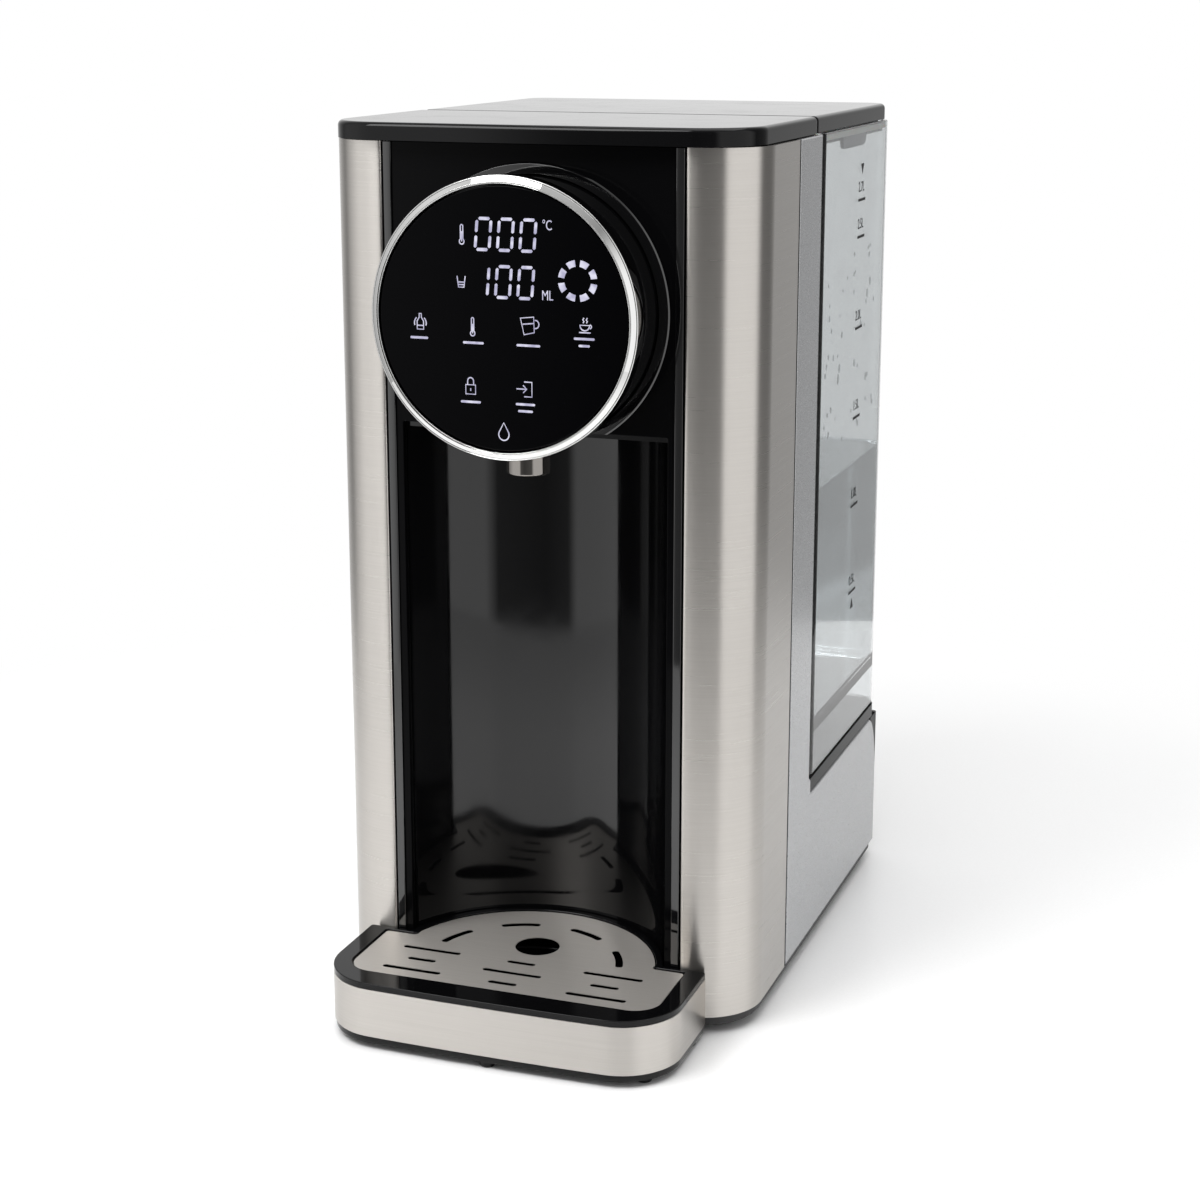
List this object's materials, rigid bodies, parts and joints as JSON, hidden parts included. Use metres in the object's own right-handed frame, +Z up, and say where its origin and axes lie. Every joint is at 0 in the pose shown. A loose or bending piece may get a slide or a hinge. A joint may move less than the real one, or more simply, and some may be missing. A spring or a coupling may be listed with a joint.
{
  "type": "countertop water dispenser",
  "caption": "Countertop hot-water dispenser: round touch head over a cup niche, clear lift-off rear tank with lid, and a slide-out drip tray with grid.",
  "frame": {"origin": "centre of the footprint's bounding box, on the surface that the dispenser stands on", "axes": "+Z up, -Y towards the user (the head and the drip tray), +X to the right as seen from the front"},
  "size_m": [0.151, 0.239, 0.305],
  "materials": {
    "brushed_stainless": "fine horizontal brushing, satin",
    "polished_chrome": "mirror polished",
    "gloss_black": "piano black moulding",
    "satin_black": "fine moulded texture",
    "silver_lacquer": "silver lacquer over moulded plastic",
    "clear_tank": "clear injection-moulded copolyester",
    "display_face": "black smoked acrylic with lit segments",
    "rubber": "moulded rubber",
    "silicone": "translucent white silicone",
    "circuit_board": "solder-masked board",
    "heater_steel": "drawn stainless tube",
    "white_nylon": "moulded nylon",
    "zinc_steel": "bright zinc plating"
  },
  "bodies": {
    "housing": {"base_pan": "satin_black", "base_screw_1": "zinc_steel", "base_screw_2": "zinc_steel", "base_screw_3": "zinc_steel", "base_screw_4": "zinc_steel", "bezel_ring": "polished_chrome", "control_board": "circuit_board", "cord_gland": "rubber", "display_board": "circuit_board", "display_glass": "display_face", "foot_front_left": "rubber", "foot_front_right": "rubber", "foot_rear_left": "rubber", "foot_rear_right": "rubber", "front_column_left": "brushed_stainless", "front_column_right": "brushed_stainless", "front_panel": "gloss_black", "head_collar": "gloss_black", "head_housing": "gloss_black", "heater_clamp_lower": "zinc_steel", "heater_clamp_upper": "zinc_steel", "heater_tube": "heater_steel", "inner_frame": "satin_black", "intake_hose": "silicone", "niche_shell": "gloss_black", "nozzle": "polished_chrome", "outlet_hose": "silicone", "pressure_hose": "silicone", "pump_body": "white_nylon", "pump_cradle": "satin_black", "pump_motor": "zinc_steel", "rear_cover": "satin_black", "side_panel_left": "silver_lacquer", "side_panel_right": "silver_lacquer", "socket_seal": "silicone", "tank_deck": "satin_black", "tank_socket": "white_nylon", "temperature_sensor": "zinc_steel", "thermostat": "satin_black", "top_cover": "gloss_black"},
    "tank": {"water_tank": "clear_tank", "valve_body": "white_nylon", "valve_nut": "white_nylon", "valve_seal": "silicone", "strainer": "white_nylon"},
    "lid": {"tank_lid": "gloss_black", "lid_gasket": "silicone"},
    "valve": {"valve_plunger": "white_nylon", "valve_spring": "zinc_steel"},
    "tray": {"drip_tray": "satin_black", "tray_band": "brushed_stainless"},
    "grid": {"drip_grid": "brushed_stainless"},
    "rotor": {"pump_impeller": "white_nylon"}
  },
  "joints": [
    {"name": "tank_lift", "type": "slide", "parent": "housing", "child": "tank", "axis": [0, 0, 1], "range_m": [0, 0.25]},
    {"name": "lid_lift", "type": "slide", "parent": "tank", "child": "lid", "axis": [0, 0, 1], "range_m": [0, 0.06]},
    {"name": "valve_travel", "type": "slide", "parent": "tank", "child": "valve", "axis": [0, 0, 1], "range_m": [0, 0.003], "stiffness_N_per_m": 150, "springref_m": -0.006, "deforming": ["valve_spring"]},
    {"name": "tray_slide", "type": "slide", "parent": "housing", "child": "tray", "axis": [0, -1, 0], "range_m": [0, 0.13]},
    {"name": "grid_lift", "type": "slide", "parent": "tray", "child": "grid", "axis": [0, 0, 1], "range_m": [0, 0.05]},
    {"name": "impeller_spin", "type": "hinge", "parent": "housing", "child": "rotor", "pos_m": [-0.029, 0.064, 0.03], "axis": [1, 0, 0], "continuous": true}
  ]
}
